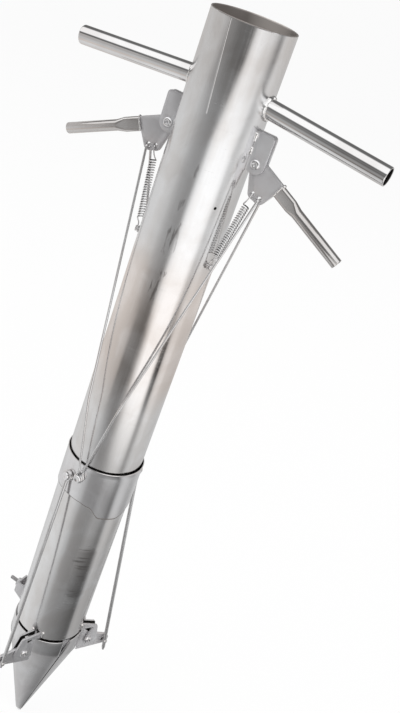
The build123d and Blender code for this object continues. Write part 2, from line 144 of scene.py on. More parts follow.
def piece(name, mesh, material, body, *stands_for, slot=None, sharp=35.0):
    """A shown piece that rides on a body and may stand for CAD nodes."""
    for face in mesh.polygons:
        face.use_smooth = True
    mesh.set_sharp_from_angle(angle=radians(sharp))
    made = add_object(name, mesh)
    mesh.materials.clear()
    mesh.materials.append(material)
    if body:
        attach(made, body)
    if stands_for:
        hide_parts(*stands_for)
    return made


def outward(mesh):
    """Turns the faces of a closed mesh outwards."""
    work = bmesh.new()
    work.from_mesh(mesh)
    bmesh.ops.recalc_face_normals(work, faces=work.faces)
    work.to_mesh(mesh)
    work.free()
    return mesh


def lathe(name, profile, place, segments, dent=None):
    """A closed profile of (radius, height) turned about the place's Z axis."""
    points = []
    for radius, height in profile:
        for j in range(segments):
            turn = tau * j / segments
            dented = radius + (dent(turn, height) if dent else 0)
            points.append(place @ polar(turn, dented, height))
    return outward(new_mesh(name, points, ring_faces(len(profile), segments, wrap=True)))


def knob(name, profile, place, segments):
    """A solid turned from a profile that starts and ends on the axis."""
    points = [UP * profile[0][1]]
    for radius, height in profile[1:-1]:
        points += ring(segments, radius, height)
    points.append(UP * profile[-1][1])
    rings = len(profile) - 2
    faces = [tuple(i + 1 for i in face) for face in ring_faces(rings, segments)]
    last = len(points) - 1
    top = 1 + (rings - 1) * segments
    for j in range(segments):
        k = (j + 1) % segments
        faces.append((0, 1 + k, 1 + j))
        faces.append((last, top + j, top + k))
    return outward(new_mesh(name, [place @ point for point in points], faces))


def wall(outer, inner, low, high, rows, steps=4):
    """The closed profile of a round wall with rolled-over rims."""
    lip = (outer - inner) / 2
    middle = (outer + inner) / 2
    low, high = low + lip, high - lip
    heights = [low] + [low + lip + (high - low - 2 * lip) * i / rows for i in range(rows + 1)] + [high]
    arc = [pi * i / steps for i in range(1, steps)]
    profile = [(outer, h) for h in heights]
    profile += [(middle + lip * cos(a), high + lip * sin(a)) for a in arc]
    profile += [(inner, h) for h in reversed(heights)]
    return profile + [(middle - lip * cos(a), low - lip * sin(a)) for a in arc]


def along(origin, axis):
    """A place whose Z runs along an axis."""
    z = Vector(axis).normalized()
    x = UP.cross(z)
    x = x.normalized() if x.length > TINY else Vector((1, 0, 0))
    y = z.cross(x)
    return Matrix.Translation(origin) @ Matrix((x, y, z)).transposed().to_4x4()


def sweep(name, path, radius, sides, swell=None):
    """A round tube along points, with closed ends; swell varies its radius."""
    count = len(path)
    points, normal = [], None
    for i, point in enumerate(path):
        heading = (path[min(i + 1, count - 1)] - path[max(i - 1, 0)]).normalized()
        if normal is None:
            normal = heading.orthogonal().normalized()
        normal = (normal - heading * normal.dot(heading)).normalized()
        side = heading.cross(normal)
        r = radius * (swell(i) if swell else 1)
        for j in range(sides):
            turn = tau * j / sides
            points.append(point + (normal * cos(turn) + side * sin(turn)) * r)
    return outward(new_mesh(name, points, capped_faces(count, sides)))


def rounded(corners, radius, steps):
    """A path through corner points with each inner corner rounded to an arc."""
    path = [corners[0]]
    for before, corner, after in zip(corners, corners[1:], corners[2:]):
        a = (before - corner).normalized()
        b = (after - corner).normalized()
        half = a.angle(b) / 2
        room = CORNER_SHARE * min((before - corner).length, (after - corner).length)
        cut = min(radius / tan(half), room)
        start, end = corner + a * cut, corner + b * cut
        for i in range(steps + 1):
            t = i / steps
            path.append(start.lerp(corner, t).lerp(corner.lerp(end, t), t))
    path.append(corners[-1])
    return path


def joined(name, *meshes):
    work = bmesh.new()
    for mesh in meshes:
        work.from_mesh(mesh)
    whole = bpy.data.meshes.new(name)
    work.to_mesh(whole)
    work.free()
    for mesh in meshes:
        bpy.data.meshes.remove(mesh)
    return whole


def carve(mesh, tool):
    """The mesh with the tool's volume cut away."""
    body = add_object("carve_body", mesh)
    cutter = add_object("carve_tool", tool)
    cut = body.modifiers.new("cut", "BOOLEAN")
    cut.operation = "DIFFERENCE"
    cut.solver = "EXACT"
    cut.object = cutter
    bpy.context.view_layer.update()
    graph = bpy.context.evaluated_depsgraph_get()
    result = bpy.data.meshes.new_from_object(body.evaluated_get(graph))
    for made in (body, cutter):
        bpy.data.objects.remove(made)
    return result


def mirrored(points, sign):
    """Points for the right side, or mirrored in X for the left."""
    return [Vector((sign * point.x, point.y, point.z)) for point in points]


def in_jaws(x, y, z, sign):
    """A point given in the jaws' own frame, in millimetres, right or left jaw."""
    return (JAW_RIGHT * (sign * x) - JAW_FRONT * y + UP * z) * MM


def on_tube(y):
    """How far out the feed tube's face is at a distance in front or behind."""
    return sqrt(TUBE_R ** 2 - y ** 2)


def soften(node, material, slot, ease=0.35 * MM, sharp=30.0):
    """A CAD piece with its sharp edges eased, in place of the node."""
    work = bmesh.new()
    work.from_mesh(nodes[node].data)
    bmesh.ops.remove_doubles(work, verts=work.verts, dist=TINY)
    bmesh.ops.dissolve_limit(work, angle_limit=radians(0.5), verts=work.verts, edges=work.edges)
    limit = radians(sharp)
    edges = [e for e in work.edges if len(e.link_faces) == 2 and e.calc_face_angle(0) > limit]
    bmesh.ops.bevel(
        work, geom=edges, offset=ease, offset_type="OFFSET", segments=2, profile=0.5,
        affect="EDGES", clamp_overlap=True,
    )
    bmesh.ops.triangulate(work, faces=[f for f in work.faces if len(f.verts) > 4])
    work.verts.index_update()
    # The bevel lists its faces in another order each run, so they are sorted
    faces = []
    for face in work.faces:
        corners = [vertex.index for vertex in face.verts]
        first = corners.index(min(corners))
        faces.append(corners[first:] + corners[:first])
    mesh = new_mesh(node + "_eased", [vertex.co for vertex in work.verts], sorted(faces))
    work.free()
    return piece(node + "_piece", mesh, material, nodes[node]["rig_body"], node, slot=slot, sharp=sharp)


def darken_faces(made, test, darker_material):
    """Gives a piece's faces that pass a test a darker material, mostly painted shade in gaps and bores."""
    made.data.materials.append(darker_material)
    last = len(made.data.materials) - 1
    for face in made.data.polygons:
        if test(face):
            face.material_index = last


# Weld beads: their ripples, lumps and grain
BEAD_STEP = 0.35 * MM
BEAD_RIPPLE = 0.03
BEAD_RIPPLE_LENGTH = 2.2 * MM
BEAD_LUMP = 0.5
BEAD_LUMP_LENGTH = 4.6 * MM
BEAD_GRAIN = 0.14
BEAD_GRAIN_LENGTH = 1.6 * MM
BEAD_TAPER = 1.2
BEAD_END = 0.35


def bead(name, path, radius, body, seed):
    """A lumpy weld bead along a path."""
    dense = []
    for start, end in zip(path, path[1:]):
        count = max(1, ceil((end - start).length / BEAD_STEP))
        dense += [start.lerp(end, i / count) for i in range(count)]
    dense.append(path[-1])
    run = [0.0]
    for start, end in zip(dense, dense[1:]):
        run.append(run[-1] + (end - start).length)

    def swell(i):
        ripple = BEAD_RIPPLE * cos(tau * run[i] / BEAD_RIPPLE_LENGTH)
        lump = BEAD_LUMP * noise.noise(Vector((run[i] / BEAD_LUMP_LENGTH, seed, 0)))
        ends = min(1.0, min(run[i], run[-1] - run[i]) / (BEAD_TAPER * radius) + BEAD_END)
        return (1 + ripple + lump) * ends

    mesh = sweep(name, dense, radius, sides=14, swell=swell)
    for vertex in mesh.vertices:
        push = noise.noise(vertex.co / BEAD_GRAIN_LENGTH + Vector((seed, 0, 0)))
        vertex.co += vertex.normal * push * BEAD_GRAIN * radius
    return piece(name, mesh, weld_steel, body, slot="fastener_steel", sharp=80.0)


class Shading:
    """The nodes of a material or a world, while they are put together."""

    def __init__(self, owner):
        owner.use_nodes = True
        self.nodes = owner.node_tree.nodes
        self.links = owner.node_tree.links

    def fill(self, node, inputs):
        """Sets a node's inputs to values, or links them to other nodes' outputs."""
        for key, value in inputs.items():
            if isinstance(value, bpy.types.NodeSocket):
                self.links.new(value, node.inputs[key])
            else:
                node.inputs[key].default_value = value

    def add(self, kind, inputs, **settings):
        node = self.nodes.new("ShaderNode" + kind)
        for key, value in settings.items():
            setattr(node, key, value)
        self.fill(node, inputs)
        return node.outputs

    def math(self, operation, *values):
        return self.add("Math", dict(enumerate(values)), operation=operation)["Value"]

    def total(self, first, *others):
        for other in others:
            first = self.math("ADD", first, other)
        return first

    def spread(self, value, low, high, floor=0.3, ceiling=0.7):
        """Maps floor to ceiling onto low to high, held at both ends."""
        inputs = {"Value": value, "From Min": floor, "From Max": ceiling, "To Min": low, "To Max": high}
        return self.add("MapRange", inputs)["Result"]

    def noise(self, where, scale, stretch, detail, distortion=0.0):
        spot = self.add("Mapping", {"Vector": where, "Scale": stretch})["Vector"]
        inputs = {"Vector": spot, "Scale": scale, "Detail": detail, "Distortion": distortion}
        return self.add("TexNoise", inputs)["Fac"]

    def mix(self, share, first, second):
        return self.add("Mix", {"Factor": share, "A": first, "B": second}, data_type="RGBA")["Result"]

    def ramp(self, position, stops):
        """Colours that change along a position, from stops of (place, colour)."""
        band = self.nodes.new("ShaderNodeValToRGB")
        elements = band.color_ramp.elements
        for place, colour in stops[1:-1]:
            elements.new(place)
        for element, (place, colour) in zip(elements, stops):
            element.position = place
            element.color = (*colour, 1)
        self.links.new(position, band.inputs["Fac"])
        return band.outputs["Color"]


# Steel: how its surface is drawn, wiped, stained and marked by wear, and the colour of painted light on it
LENGTHWISE = (900, 900, 9)
ACROSS = (14, 700, 700)
EVEN = (420, 420, 420)
FINE = (700, 700, 700)
ALIKE = (1, 1, 1)
CLOUD_SCALE = 26.0
RUB_SHARE = 0.12
RUB_RANGE = (0.55, 0.75)
WIPE = (30, 30, 1300)
WIPE_ROUGH = 0.10
WIPE_RANGE = (0.60, 0.72)
STAIN = (0.895, 0.88, 0.875)
TUBE_STAIN = (0.895, 0.875, 0.858)
STAIN_RANGE = (0.30, 0.62)
CLOUD_STAIN = 0.6
RUB_STAIN = 0.3
RUB_MARK = (0.16, 0.145, 0.138)
PAINTED_LIGHT_COLOUR = (1.0, 0.94, 0.89)
PATCH_EDGE = -0.35
PATCH_ACROSS = 0.5
PATCH_FULL = 0.6
PATCH_RANGE = (1.35, 1.90)
PATCH_MOST = 0.55
SMEAR_SCALE = 330.0
SMEARS = (-0.9, 0.35, 0.42, 0.62)
GROUP_SCALE = 46.0
GROUPS = (-0.35, 0.2, 0.40, 0.60)


def wear_and_light_patch(tree, where, colour, azimuth, reach, low, high, cover, stretch=None, patch_colour=RUB_MARK):
    """Wear, or painted light, in a patch round an azimuth in degrees; with a stretch, it breaks up into
    streaks.
    """
    facing = tree.add("VectorMath", {0: where, 1: polar(radians(azimuth))}, operation="DOT_PRODUCT")
    height = tree.add("SeparateXYZ", {"Vector": where})["Z"]
    half = (high - low) / 2
    far = tree.math("ABSOLUTE", tree.math("SUBTRACT", height, (low + high) / 2))
    edge = TUBE_R * cos(radians(reach))
    depth = tree.total(
        tree.spread(facing["Value"], PATCH_EDGE if stretch else 0.0, PATCH_ACROSS, edge, TUBE_R),
        tree.spread(far, 1.0, 0.0, PATCH_FULL * half, half),
    )
    if stretch:
        smears = tree.spread(tree.noise(where, SMEAR_SCALE, stretch, detail=5.0, distortion=0.4), *SMEARS)
        groups = tree.spread(tree.noise(where, GROUP_SCALE, ALIKE, detail=2.0), *GROUPS)
        depth = tree.total(depth, smears, groups)
    start, end = PATCH_RANGE
    return tree.mix(tree.spread(depth, 0.0, PATCH_MOST, start - cover, end - cover), colour, (*patch_colour, 1))


def steel(
    name, colour, roughness, grain, lines=0.25, smudge=0.10, streak=0.06, metal=1.0, wear_and_light=(), stain=STAIN,
):
    """Stainless steel with fine drawn lines, smudges, warm stains, and patches of wear or of painted light.
    """
    material = bpy.data.materials.new(name)
    tree = Shading(material)
    where = tree.add("TexCoord", {})["Object"]
    fine = tree.noise(where, 1.0, grain, detail=3.0)
    cloud = tree.noise(where, CLOUD_SCALE, ALIKE, detail=4.0, distortion=0.6)
    rub = tree.noise(where, 1.0, [value * RUB_SHARE for value in grain], detail=5.0)
    rough = tree.total(
        tree.spread(cloud, roughness - smudge / 2, roughness + smudge / 2),
        tree.spread(fine, -streak / 2, streak / 2),
        tree.spread(rub, 0.0, streak, *RUB_RANGE),
    )
    if wear_and_light:
        wiped = tree.noise(where, 1.0, WIPE, detail=4.0)
        rough = tree.total(rough, tree.spread(wiped, 0.0, WIPE_ROUGH, *WIPE_RANGE))
    dull = [channel * share for channel, share in zip(colour, stain)]
    clean = tree.total(tree.spread(cloud, 0.0, CLOUD_STAIN), tree.spread(rub, 0.0, RUB_STAIN))
    shown = tree.ramp(clean, list(zip(STAIN_RANGE, (dull, colour))))
    for patch in wear_and_light:
        shown = wear_and_light_patch(tree, where, shown, **patch)
    bump = tree.add("Bump", {"Strength": lines, "Distance": 0.05 * MM, "Height": tree.total(fine, rub)})
    shader = tree.nodes["Principled BSDF"]
    tree.fill(shader, {"Base Color": shown, "Metallic": metal, "Roughness": rough, "Normal": bump["Normal"]})
    return material


TUBE_WEAR = (
    dict(azimuth=-78, reach=13, low=520 * MM, high=673 * MM, cover=0.16, stretch=(1, 1, 0.16)),
    dict(azimuth=-40, reach=18, low=188 * MM, high=280 * MM, cover=0.33),
    dict(azimuth=-46, reach=18, low=185 * MM, high=285 * MM, cover=0.04, stretch=(0.10, 0.10, 1.1)),
)
# A patch of painted light on the far inner wall below the tube's mouth
PAINTED_LIGHT_INSIDE = (dict(azimuth=88, reach=40, low=640 * MM, high=900 * MM, cover=0.47, patch_colour=PAINTED_LIGHT_COLOUR),)
tube_steel = steel(
    "tube_steel", (0.835, 0.835, 0.84), 0.16, LENGTHWISE, lines=0.16, wear_and_light=TUBE_WEAR, stain=TUBE_STAIN,
)
handle_steel = steel("handle_steel", (0.84, 0.835, 0.835), 0.07, ACROSS, lines=0.10, smudge=0.06, streak=0.04)
band_steel = steel("band_steel", (0.79, 0.79, 0.80), 0.15, LENGTHWISE, lines=0.12)
# The left side's sheets get a darker copy of the same steel, as painted shade
sheet_steel = {
    "right": steel("sheet_steel", (0.75, 0.75, 0.765), 0.34, EVEN, lines=0.2, smudge=0.12, metal=0.72),
    "left": steel("sheet_shaded_steel", (0.60, 0.60, 0.615), 0.36, EVEN, lines=0.2, smudge=0.12, metal=0.72),
}
lever_steel = steel("lever_steel", (0.67, 0.655, 0.645), 0.10, EVEN, lines=0.12, smudge=0.08, metal=0.94)
jaw_steel = steel("jaw_steel", (0.80, 0.80, 0.81), 0.22, LENGTHWISE, lines=0.06, smudge=0.06)
wire_steel = steel("wire_steel", (0.74, 0.74, 0.745), 0.18, EVEN, lines=0.06, metal=0.85)
spring_steel = steel("spring_steel", (0.86, 0.86, 0.865), 0.20, EVEN, lines=0.06, metal=0.9)
fastener_steel = steel("fastener_steel", (0.88, 0.88, 0.89), 0.16, EVEN, lines=0.2, smudge=0.12)
# Dark brown, as dirt and painted shade inside the tube, with painted light; also the collar hem's shadow line
inner_steel = steel(
    "inner_steel", (0.22, 0.197, 0.185), 0.42, LENGTHWISE, smudge=0.2, metal=0.55, wear_and_light=PAINTED_LIGHT_INSIDE,
)
thread_steel = steel("thread_steel", (0.50, 0.50, 0.505), 0.26, EVEN, lines=0.3, smudge=0.12)
shade_steel = steel("shade_steel", (0.14, 0.14, 0.145), 0.45, EVEN, lines=0.1, smudge=0.1)
# Near black painted shade for the handles' bores, the collar's gap and the forks' slots
gap_shade_steel = steel("gap_shade_steel", (0.05, 0.047, 0.045), 0.5, LENGTHWISE, lines=0.1, smudge=0.1)
dark_cone_inside_steel = steel("dark_cone_inside_steel", (0.36, 0.35, 0.34), 0.42, EVEN, lines=0.1, smudge=0.2, metal=0.8)
collar_steel = steel("collar_steel", (0.83, 0.83, 0.84), 0.14, LENGTHWISE, lines=0.14, smudge=0.08)
weld_steel = steel("weld_steel", (0.92, 0.915, 0.91), 0.16, FINE, lines=0.4, smudge=0.2)


# The feed tube, with shallow hollows, a small hole and a ridge below its mouth
FOOT_LIFT = 0.7 * MM
HOLLOW_DEPTH = 0.16 * MM
HOLLOWS_ROUND = 1.1
HOLLOWS_UP = 9.0
INSIDE_SHARE = 0.8
RIM_SHARE = 0.4
HOLE_AZIMUTH = radians(-34.0)
HOLE_LEVEL = 626.0 * MM
HOLE_R = 1.3 * MM


def tube_dent(turn, height):
    """Shallow hollows in the rolled sheet, so that its reflections waver."""
    return -HOLLOW_DEPTH * abs(noise.noise(polar(turn, HOLLOWS_ROUND, height * HOLLOWS_UP)))


def build_tube():
    profile = wall(TUBE_R, TUBE_R - TUBE_WALL, TUBE_FOOT + FOOT_LIFT, TUBE_MOUTH, rows=90)
    mesh = lathe("feed_tube", profile, Matrix.Identity(4), segments=144, dent=tube_dent)
    out = polar(HOLE_AZIMUTH)
    place = along(out * TUBE_R + UP * HOLE_LEVEL, out)
    depth = 3 * TUBE_WALL
    drill = knob("drill", [(0, -depth), (HOLE_R, -depth), (HOLE_R, depth), (0, depth)], place, segments=20)
    mesh = carve(mesh, drill)
    made = piece("feed_tube", mesh, tube_steel, "frame", "main_tube", slot="tube_steel", sharp=60.0)

    def in_tube(face):
        reach = hypot(face.center.x, face.center.y)
        on_rim = face.center.z > TUBE_MOUTH - RIM_SHARE * TUBE_WALL
        return on_rim or reach < TUBE_R - INSIDE_SHARE * TUBE_WALL

    # The inside of the tube is painted dark brown, as dirt and painted shade, and the top of its rim the same
    darken_faces(made, in_tube, inner_steel)


def build_ridge():
    """The tube's seam below its mouth, a ridge that tapers and wavers; its turn is in degrees."""
    steps = 39
    top, foot = -95.0, -86.0
    start, length, sunk = 1.5 * MM, 70.0 * MM, 0.30 * MM
    narrowing, waver, waves, seed = 0.35, 0.10, 0.7, 4.0
    ridge = []
    for i in range(steps + 1):
        share = i / steps
        azimuth = radians(top + (foot - top) * share)
        ridge.append(polar(azimuth, TUBE_R - sunk, TUBE_MOUTH - start - length * share))

    def taper(i):
        return 1.0 - narrowing * i / steps + waver * noise.noise(Vector((i * waves, seed, 0)))

    mesh = sweep("tube_seam", ridge, radius=0.80 * MM, sides=10, swell=taper)
    piece("tube_seam", mesh, tube_steel, "frame", slot="tube_steel")


# The handles, with a weld bead round each root
HANDLE_DROP = 53.0 * MM
HANDLE_SUNK = 0.5 * MM
HANDLE_WELD_OUT = 0.5 * MM
HANDLE_WELD_STEPS = 48


def build_handle(side, sign):
    root = UP * (TUBE_MOUTH - HANDLE_DROP)
    fall = radians(4.6)
    low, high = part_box("handle_" + side)
    radius = (high.y - low.y) / 2
    tip_x = high.x if sign > 0 else low.x
    axis = Vector((sign * cos(fall), 0, -sin(fall)))
    length = (abs(tip_x) - radius * sin(fall)) / cos(fall)
    profile = wall(radius, radius - TUBE_WALL, TUBE_R - HANDLE_SUNK, length, rows=14)
    mesh = lathe("handle", profile, along(root, axis), segments=56)
    made = piece(
        "handle_tube_" + side, mesh, handle_steel, "frame", "handle_" + side, slot="tube_steel", sharp=60.0,
    )

    def in_bore(face):
        arm = face.center - root
        return (arm - axis * arm.dot(axis)).length < radius - INSIDE_SHARE * TUBE_WALL

    # Painted shade: the bore inside the handle is near black
    darken_faces(made, in_bore, gap_shade_steel)
    saddle = []
    for i in range(HANDLE_WELD_STEPS + 1):
        turn = tau * i / HANDLE_WELD_STEPS
        y = radius * sin(turn)
        x = on_tube(y)
        z = root.z - x * tan(fall) + radius * cos(turn) / cos(fall)
        saddle.append(Vector((sign * (x + HANDLE_WELD_OUT), y, z)))
    bead("handle_weld_" + side, saddle, radius=1.9 * MM, body="frame", seed=3.0 + sign)


# The collar: its rolled rim as (out, down) in millimetres from the outer and from the inner face, and how far
# its hem strays down or up, in millimetres, at degrees from the view's centre line
COLLAR_ROWS = 12
COLLAR_SIDES = 160
COLLAR_STRIP = 0.8 * MM
COLLAR_EDGE = 0.3 * MM
COLLAR_ROLL = 1.5 * MM
ROLL_OUTSIDE = ((0.25, 0.7), (0.3, 0.3), (0.1, 0.0))
ROLL_INSIDE = ((0.75, 0.0), (0.6, 1.0), (0.1, 4.5))
COLLAR_HEM = (
    (-180, 0.0), (-75, 5.0), (-40, 6.5), (-17, 5.5), (1, 3.4), (21, -7.0), (48, -8.5), (84, 0.0), (180, 0.0),
)
HEM_SHARE = 0.5
COLLAR_LEAN = 0.65 * MM
COLLAR_LEAN_TURN = radians(20)


def hem(turn):
    """How far the collar's lower edge strays from level, round the collar."""
    value = 0.0
    swing = degrees(turn - VIEW_AZIMUTH)
    swing = (swing + 180) % 360 - 180
    for (start, a), (end, b) in zip(COLLAR_HEM, COLLAR_HEM[1:]):
        if start <= swing < end:
            share = (swing - start) / (end - start)
            value = a + (b - a) * share * share * (3 - 2 * share)
    return value * MM


def build_collar():
    low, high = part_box("lift_collar")
    outer, inner = high.x, high.x - TUBE_WALL
    tall = high.z - low.z
    foot = low.z + COLLAR_STRIP
    rise = high.z - COLLAR_ROLL - foot
    side = [(outer, low.z)] + [(outer, foot + rise * i / COLLAR_ROWS) for i in range(COLLAR_ROWS + 1)]
    rim = [
        (face + out * MM, high.z - down * MM)
        for face, roll in ((outer, ROLL_OUTSIDE), (inner, ROLL_INSIDE)) for out, down in roll
    ]
    profile = side + rim + [(inner, low.z + COLLAR_EDGE), (inner, low.z)]
    mesh = lathe("collar", profile, Matrix.Identity(4), COLLAR_SIDES)
    lean = polar(VIEW_AZIMUTH + COLLAR_LEAN_TURN) * COLLAR_LEAN
    for vertex in mesh.vertices:
        share = max(0.0, 1 - (vertex.co.z - low.z) / (HEM_SHARE * tall))
        vertex.co.z += hem(atan2(vertex.co.y, vertex.co.x)) * share
        vertex.co += lean * max(0.0, vertex.co.z - low.z) / tall
    made = piece("collar_sleeve", mesh, collar_steel, "collar", "lift_collar", slot="tube_steel", sharp=50.0)
    # Painted shade: the collar's inner flare, inner wall and underside are near black, as the gap round the
    # tube
    inside = len(side) + len(ROLL_OUTSIDE)
    darken_faces(made, lambda face: face.index // COLLAR_SIDES >= inside, gap_shade_steel)
    # The thin outer strip at the hem is painted dark brown, as the shadow line under the hem
    darken_faces(made, lambda face: face.index // COLLAR_SIDES == 0, inner_steel)


# Sheet pieces keep their CAD shape with eased edges; the slots of the jaws' forks, whose places are in
# millimetres in the jaws' frame, are painted near black as shade
FORK_FRONT = -26.5
FORK_REAR = -18.5
CHEEK = 2.0
CHEEK_SLACK = 0.1
SLOT_REACH = 46.0
FACING_UP = 0.5


def in_slot(face):
    """A face that lines the slot between the two cheeks of a jaw's fork."""
    depth = -face.center.dot(JAW_FRONT) / MM
    return FORK_FRONT + CHEEK - CHEEK_SLACK < depth < FORK_REAR - CHEEK + CHEEK_SLACK


def slot_floor(face):
    """An upper edge of a jaw's arm, deep between the cheeks."""
    reach = abs(face.center.dot(JAW_RIGHT)) / MM
    return face.normal.z > FACING_UP and reach < SLOT_REACH


def build_sheets():
    for side, sheet in sheet_steel.items():
        soften("lever_bracket_" + side, sheet, "sheet_steel")
        soften("lever_plate_" + side, sheet, "lever_steel")
        soften("lever_grip_" + side, lever_steel, "lever_steel", ease=0.2 * MM, sharp=50.0)
        fork = soften("jaw_fork_" + side, sheet, "sheet_steel")
        arm = soften("jaw_arm_" + side, sheet, "sheet_steel")
        soften("jaw_band_" + side, band_steel, "jaw_steel", ease=0.4 * MM, sharp=50.0)
        # Painted shade: the faces lining each fork's slot and the arm's upper edges between the cheeks are
        # near black
        darken_faces(fork, in_slot, gap_shade_steel)
        darken_faces(arm, slot_floor, gap_shade_steel)
    for name in ("seam_strips", "stop_socket"):
        soften(name, sheet_steel["left"], "sheet_steel", ease=0.2 * MM)
    soften("stop_nut", thread_steel, "fastener_steel", ease=0.3 * MM)


# Planting cone: two half shells with a seam between them, a lap in front and ragged points
CONE_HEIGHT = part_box("jaw_cone_right")[1].z
CONE_TOP_R = 36.0 * MM
CONE_TIP_R = 3.0 * MM
CONE_WALL = 1.4 * MM
CONE_SEAM = 1.7 * MM
CONE_ROWS = 44
CONE_COLUMNS = 48
CONE_INSIDE = 0.55
SEAM_MOST = 0.9
TIP_RAGGED = 4.0 * MM
TORN_CURVE = 1.5
TORN_ROUGH = 0.5
TORN_ACROSS = 5.0
TORN_SEED = (2.3, 0.7)
LAP_START = 0.86
LAPS = {"right": -0.35 * MM, "left": 0.25 * MM}
WAVE = 0.25 * MM
WAVES_ACROSS = 1.7
WAVES_UP = 22
WAVE_SEED = 5.0


def cone_r(level):
    return CONE_TIP_R + (CONE_TOP_R - CONE_TIP_R) * level / CONE_HEIGHT


def build_cone(side, sign):
    outer, inner = [], []
    for i in range(CONE_ROWS + 1):
        share = i / CONE_ROWS
        for j in range(CONE_COLUMNS + 1):
            across = 2 * j / CONE_COLUMNS - 1
            seed, plane = TORN_SEED
            rough = TORN_ROUGH * noise.noise(Vector((TORN_ACROSS * across, sign * seed, plane)))
            torn = 1 - abs(across) ** TORN_CURVE + rough
            ragged = max(0.0, TIP_RAGGED * torn * (1 - share) ** 3)
            level = ragged + (CONE_HEIGHT - ragged) * share
            front = max(0.0, -across - LAP_START) / (1 - LAP_START)
            reach = cone_r(level)
            lapped = reach + LAPS[side] * front * (1 - share) ** 0.5
            wave = WAVE * noise.noise(Vector((across * WAVES_ACROSS, sign * WAVE_SEED, level * WAVES_UP)))
            half = pi / 2 - asin(min(SEAM_MOST, CONE_SEAM / 2 / reach))
            turn = half * across
            for points, radius in ((outer, lapped + wave * (1 - share)), (inner, lapped - CONE_WALL)):
                x, y = radius * cos(turn), radius * sin(turn)
                points.append(in_jaws(x / MM, y / MM, level / MM, sign))
    count = len(outer)
    wide = CONE_COLUMNS + 1
    faces = []
    for i in range(CONE_ROWS):
        for j in range(CONE_COLUMNS):
            a, b = i * wide + j, (i + 1) * wide + j
            faces.append((a, a + 1, b + 1, b))
            faces.append((count + a, count + b, count + b + 1, count + a + 1))
        for a in (i * wide, i * wide + CONE_COLUMNS):
            faces.append((a, a + wide, count + a + wide, count + a))
    for j in range(CONE_COLUMNS):
        for a in (j, CONE_ROWS * wide + j):
            faces.append((a, count + a, count + a + 1, a + 1))
    mesh = outward(new_mesh("cone", outer + inner, faces))
    made = piece(
        "cone_half_" + side, mesh, jaw_steel, "jaw_" + side, "jaw_cone_" + side, slot="jaw_steel", sharp=40.0,
    )

    def hidden(face):
        centre = face.center
        return hypot(centre.x, centre.y) < cone_r(centre.z) - CONE_INSIDE * CONE_WALL

    # The inside of each half is given a darker, duller steel
    darken_faces(made, hidden, dark_cone_inside_steel)


# Return springs: an eye on the stud, close coils, and a hook through the lever
SPRING_WIRE = 1.0 * MM
SPRING_SHOWN = 1.15 * MM
COIL_R = 2.7 * MM
COIL_FOOT = 9.6 * MM
COIL_PITCH = 2.08 * MM
COIL_TURNS = 23.75
COIL_STEPS = 18
COIL_INSIDE = 0.15
EYE_START = 130
EYE_STEP = 10
NECK = 4.2 * MM
NECK_STEPS = 4
LEAD_TURN = 0.25
LEAD_STEPS = 8
LEAD_BEND = 1.6
LEAD_IN = 0.8
LEAD_OUT = 1.25
HOOK_REACH = 2.5 * MM
HOOK_TAIL = 5.0 * MM
HOOK_BEND = 1.1 * MM


def spring_points():
    """The right spring's wire, and the first and last point of its coil's axis."""
    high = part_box("spring_hook_right")[1]
    hook = Vector((high.x - SPRING_WIRE / 2, 0, high.z - SPRING_WIRE / 2))
    axis = (hook - SPRING_EYE).normalized()
    out = Vector((SPRING_EYE.x, SPRING_EYE.y, 0)).normalized()
    side = out.cross(axis).normalized()
    rear = axis.cross(side)

    def around(turn, height):
        return SPRING_EYE + (side * cos(turn) + rear * sin(turn)) * COIL_R + axis * height

    path = []
    for angle in range(EYE_START, 360, EYE_STEP):
        a = radians(angle)
        path.append(SPRING_EYE + (side * cos(a) + axis * sin(a)) * COIL_R)
    neck = COIL_FOOT - NECK
    path += [around(0, neck * i / NECK_STEPS) for i in range(NECK_STEPS + 1)]
    first = COIL_FOOT + LEAD_TURN * COIL_PITCH
    shares = [i / LEAD_STEPS for i in range(1, LEAD_STEPS + 1)]
    for share in shares:
        path.append(around(pi / 2 * share ** LEAD_BEND, neck + (first - neck) * share ** LEAD_IN))
    for i in range(1, round((COIL_TURNS - LEAD_TURN) * COIL_STEPS) + 1):
        turns = LEAD_TURN + i / COIL_STEPS
        path.append(around(tau * turns, COIL_FOOT + COIL_PITCH * turns))
    top = COIL_FOOT + COIL_PITCH * COIL_TURNS
    last = tau * COIL_TURNS
    end = (hook - SPRING_EYE).length - NECK
    for share in shares:
        turn = last + pi / 2 * (1 - (1 - share) ** LEAD_BEND)
        path.append(around(turn, top + (end - top) * share ** LEAD_OUT))
    near = Vector((hook.x, -HOOK_REACH, hook.z))
    over = Vector((hook.x, HOOK_REACH, hook.z))
    tail = over - UP * HOOK_TAIL
    path += rounded([path[-1], near, over, tail], HOOK_BEND, steps=6)[1:]
    return path, SPRING_EYE + axis * COIL_FOOT, SPRING_EYE + axis * top


def build_spring(side, sign):
    path, foot, top = spring_points()
    mesh = sweep("spring", mirrored(path, sign), SPRING_SHOWN / 2, sides=8)
    made = piece(
        "coil_spring_" + side, mesh, spring_steel, None, "return_spring_" + side, "spring_hook_" + side,
        slot="spring_steel", sharp=80.0,
    )
    start, end = mirrored([foot, top], sign)
    axis = (end - start).normalized()

    def facing_in(face):
        arm = face.center - start
        rise = arm.dot(axis)
        reach = (arm - axis * rise).length
        return 0 < rise < (end - start).length and reach < COIL_R - COIL_INSIDE * SPRING_SHOWN

    darken_faces(made, facing_in, shade_steel)
    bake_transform(made)


# Pull wires: one bent wire each, hung in a lever, with a loop on the collar's studs
WIRE_R = 1.1 * MM
WIRE_KNEE = 80.0 * MM
KNEE_R = 60.0 * MM
WIRE_CROWN = 3.4 * MM
CROWN_R = 2.0 * MM
LOOP_R = 3.7 * MM
LOOP_NECK = 9.0 * MM
LOOP_SHOULDER = (6.2 * MM, 0.5 * MM)
LOOP_DEGREES = range(55, -236, -12)


